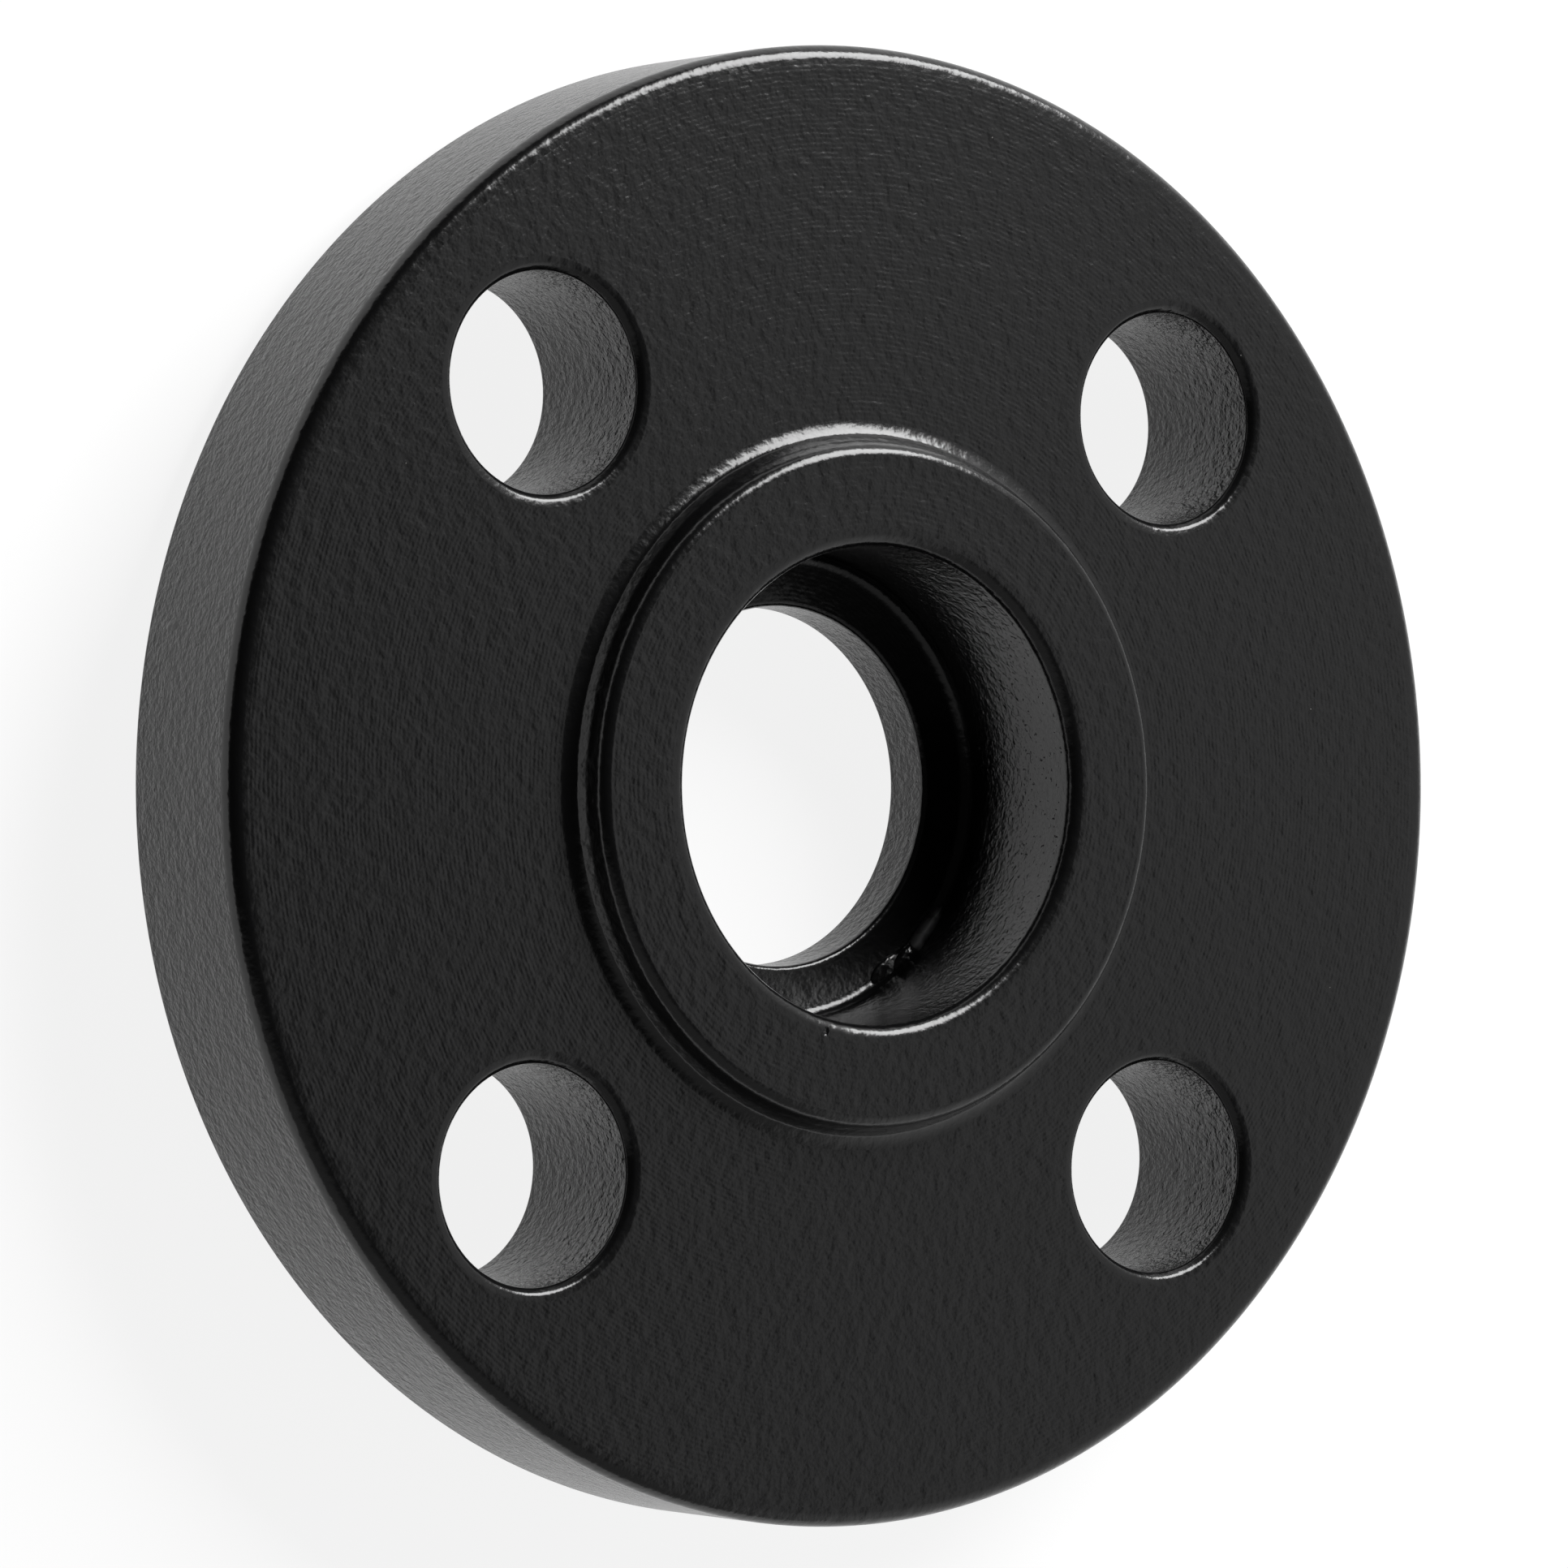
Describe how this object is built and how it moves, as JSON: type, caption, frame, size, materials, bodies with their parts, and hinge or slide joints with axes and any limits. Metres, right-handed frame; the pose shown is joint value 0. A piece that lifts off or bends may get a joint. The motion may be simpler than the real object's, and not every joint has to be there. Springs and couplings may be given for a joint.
{
  "type": "socket weld flange",
  "caption": "Black painted steel socket weld flange: round disc with a raised gasket face, a low hub with a pipe socket and shoulder, a flow bore, and through holes on a bolt circle.",
  "frame": {"origin": "centre of the raised gasket face, which the flange lies on", "axes": "+Z along the pipe axis, from the raised face up through the hub and out of the socket's mouth; the bolt holes straddle +X and +Y"},
  "size_m": [0.108, 0.108, 0.0173],
  "materials": {
    "black_paint": "satin black paint over turned steel"
  },
  "bodies": {
    "root": {"socket_weld_flange": "black_paint"}
  },
  "joints": []
}
